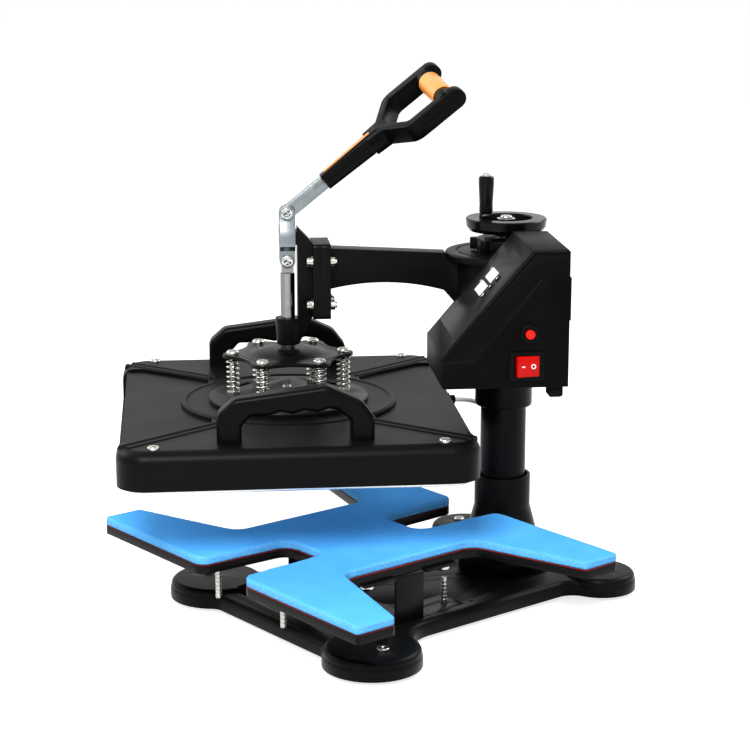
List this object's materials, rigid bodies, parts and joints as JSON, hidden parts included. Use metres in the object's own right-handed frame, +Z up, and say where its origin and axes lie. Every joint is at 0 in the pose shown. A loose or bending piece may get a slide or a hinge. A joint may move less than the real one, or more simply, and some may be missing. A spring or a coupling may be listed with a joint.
{
  "type": "shoe heat press",
  "caption": "Swing-away shoe heat press: wing-shaped padded platform, heated platen on a toggle lever, post with height wheel, and a control box on the arm.",
  "frame": {"origin": "on the post's axis, on the surface that the press stands on", "axes": "+Z up along the post, -Y towards the user and the pad, +X to the user's right"},
  "size_m": [0.5899, 0.5168, 0.5428],
  "materials": {
    "base_paint": "satin",
    "body_paint": "satin",
    "foot_rubber": "matte",
    "zinc_steel": "satin",
    "bright_steel": "polished",
    "black_steel": "satin",
    "film": "satin",
    "foam": "matte",
    "black_plastic": "satin",
    "orange_plastic": "gloss",
    "spring_steel": "satin",
    "heater_aluminium": "matte",
    "element_steel": "matte",
    "ceramic_wool": "matte",
    "brass": "satin",
    "lead_jacket": "satin",
    "panel_face": "satin",
    "moulded_cover": "satin",
    "wheel_plastic": "gloss",
    "window_tint": "satin",
    "board_green": "satin",
    "red_plastic": "gloss"
  },
  "bodies": {
    "stand": {"base_frame": "base_paint", "rubber_feet": "foot_rubber", "base_screws": "zinc_steel", "post_foot": "black_steel", "post_tube": "black_steel", "post_plug": "brass", "mount_plate": "black_steel", "bridge_bracket": "black_steel", "pad_bolts": "bright_steel", "threaded_studs": "zinc_steel", "pad_plate": "black_steel", "pad_film": "film", "foam_pad": "foam"},
    "lift_carriage": {"lift_sleeve": "body_paint"},
    "lock_ring": {"lock_collar": "black_plastic"},
    "wheel": {"handwheel": "wheel_plastic", "wheel_spindle": "bright_steel", "wheel_nut": "bright_steel", "crank_pin": "bright_steel"},
    "crank": {"crank_grip": "black_plastic"},
    "arm": {"arm_casting": "body_paint", "hub_cap": "body_paint", "arm_bolts": "zinc_steel", "head_bracket": "body_paint", "guide_bush": "brass", "fulcrum_pin": "bright_steel", "heater_lead": "lead_jacket", "box_shell": "moulded_cover", "side_cover": "moulded_cover", "display_panel": "panel_face", "display_windows": "window_tint", "control_board": "board_green", "power_parts": "black_plastic", "box_glands": "black_plastic", "switch_bezel": "black_plastic", "button_bezel": "black_plastic"},
    "lever": {"lever_bar": "zinc_steel", "lever_grip": "black_plastic", "grip_inlays": "orange_plastic"},
    "link": {"link_plates": "bright_steel", "link_screws": "bright_steel"},
    "plunger": {"plunger_rod": "bright_steel", "spider_plate": "body_paint", "press_springs": "spring_steel"},
    "platen": {"spring_bolts": "zinc_steel", "disc_plate": "black_steel", "platen_cover": "moulded_cover", "platen_screws": "zinc_steel", "heater_plate": "heater_aluminium", "heating_element": "element_steel", "insulation": "ceramic_wool", "near_handle": "black_plastic", "far_handle": "black_plastic", "cover_gland": "black_plastic"},
    "rocker": {"rocker_switch": "red_plastic"},
    "button": {"push_button": "red_plastic"},
    "key_set": {"set_key": "panel_face"},
    "key_down": {"down_key": "panel_face"},
    "key_up": {"up_key": "panel_face"}
  },
  "joints": [
    {"name": "lift_slide", "type": "slide", "parent": "stand", "child": "lift_carriage", "axis": [0, 0, 1], "range_m": [-0.02, 0.01]},
    {"name": "wheel_turn", "type": "hinge", "parent": "lift_carriage", "child": "wheel", "pos_m": [0, 0, 0.38], "axis": [0, 0, 1], "range_deg": [-1800, 900]},
    {"name": "crank_spin", "type": "hinge", "parent": "wheel", "child": "crank", "pos_m": [-0.0339, 0.00255, 0.405], "axis": [0, 0, 1], "continuous": true},
    {"name": "arm_swing", "type": "hinge", "parent": "lift_carriage", "child": "arm", "pos_m": [0, 0, 0.31], "axis": [0, 0, 1], "range_deg": [-60, 100]},
    {"name": "lock_turn", "type": "hinge", "parent": "lift_carriage", "child": "lock_ring", "pos_m": [0, 0, 0.36], "axis": [0, 0, 1], "range_deg": [0, 270]},
    {"name": "lever_press", "type": "hinge", "parent": "arm", "child": "lever", "pos_m": [-0.12463, -0.18973, 0.3695], "axis": [0.8358, -0.549, 0], "range_deg": [0, 180]},
    {"name": "link_swing", "type": "hinge", "parent": "lever", "child": "link", "pos_m": [-0.12463, -0.18973, 0.3945], "axis": [0.8358, -0.549, 0], "range_deg": [-180, 0]},
    {"name": "plunger_slide", "type": "slide", "parent": "arm", "child": "plunger", "axis": [0, 0, 1], "range_m": [-0.05, 0]},
    {"name": "platen_float", "type": "slide", "parent": "plunger", "child": "platen", "axis": [0, 0, 1], "range_m": [0, 0.006], "stiffness_N_per_m": 18000, "springref_m": -0.01, "deforming": ["press_springs"]},
    {"name": "rocker_tip", "type": "hinge", "parent": "arm", "child": "rocker", "pos_m": [0.14048, -0.10125, 0.269], "axis": [0, 0, 1], "range_deg": [-18, 0]},
    {"name": "button_push", "type": "slide", "parent": "arm", "child": "button", "axis": [-0.8358, 0.549, 0], "range_m": [0, 0.0025], "stiffness_N_per_m": 400, "springref_m": -0.001},
    {"name": "set_press", "type": "slide", "parent": "arm", "child": "key_set", "axis": [0.4186, 0.6372, -0.6471], "range_m": [0, 0.0008], "stiffness_N_per_m": 600, "springref_m": -0.0008},
    {"name": "down_press", "type": "slide", "parent": "arm", "child": "key_down", "axis": [0.4186, 0.6372, -0.6471], "range_m": [0, 0.0008], "stiffness_N_per_m": 600, "springref_m": -0.0008},
    {"name": "up_press", "type": "slide", "parent": "arm", "child": "key_up", "axis": [0.4186, 0.6372, -0.6471], "range_m": [0, 0.0008], "stiffness_N_per_m": 600, "springref_m": -0.0008}
  ],
  "couplings": [
    {"joint": "wheel_turn", "follows": "lift_slide", "rad_per_m": 1570.8},
    {"joint": "link_swing", "follows": "lever_press", "ratio": -1},
    {"joint": "plunger_slide", "follows": "lever_press", "m_per_rad": -0.015915}
  ]
}
